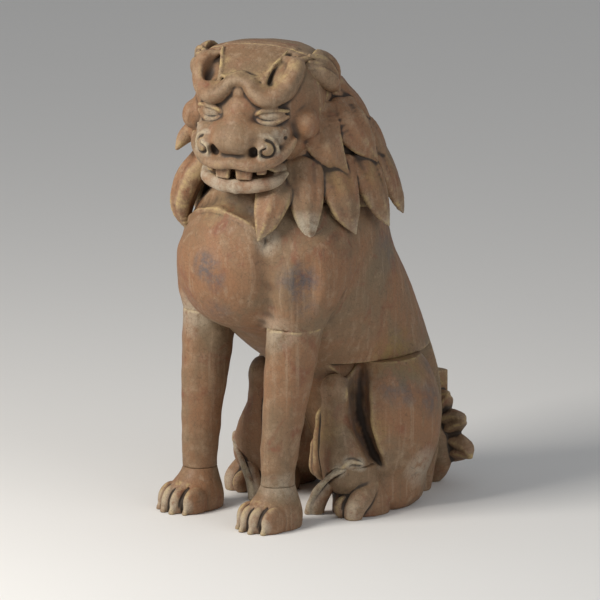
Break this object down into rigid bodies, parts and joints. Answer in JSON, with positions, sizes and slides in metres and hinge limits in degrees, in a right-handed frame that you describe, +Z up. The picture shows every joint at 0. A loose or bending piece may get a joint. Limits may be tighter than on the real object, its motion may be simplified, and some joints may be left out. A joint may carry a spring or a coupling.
{
  "type": "guardian lion statue",
  "caption": "Seated guardian lion in pegged blocks of carved, painted wood, with its head turned to its left, a tiered mane, straight forelegs, full haunches and a low plumed tail. Stands free.",
  "frame": {"origin": "middle of the statue's bounding box on the ground it stands on", "axes": "+Z up, -Y the way the body faces, +X to the lion's own left"},
  "size_m": [0.152, 0.2295, 0.337],
  "materials": {
    "painted_wood": "worn matt paint on carved wood",
    "peg_wood": "bare wood",
    "iron": "forged, dark"
  },
  "bodies": {
    "root": {"left_trunk": "painted_wood", "right_trunk": "painted_wood", "left_foreleg": "painted_wood", "right_foreleg": "painted_wood", "left_forepaw": "painted_wood", "right_forepaw": "painted_wood", "left_haunch": "painted_wood", "right_haunch": "painted_wood", "left_hindpaw": "painted_wood", "right_hindpaw": "painted_wood", "face": "painted_wood", "lower_jaw": "painted_wood", "crown": "painted_wood", "left_ear": "painted_wood", "right_ear": "painted_wood", "left_mane": "painted_wood", "right_mane": "painted_wood", "back_mane": "painted_wood", "tail": "painted_wood", "trunk_pegs": "peg_wood", "haunch_pegs": "peg_wood", "leg_pegs": "peg_wood", "wrist_pegs": "peg_wood", "ankle_pegs": "peg_wood", "face_pegs": "peg_wood", "jaw_pegs": "peg_wood", "ear_pegs": "peg_wood", "mane_pegs": "peg_wood", "tail_peg": "peg_wood", "trunk_staples": "iron"}
  },
  "joints": []
}
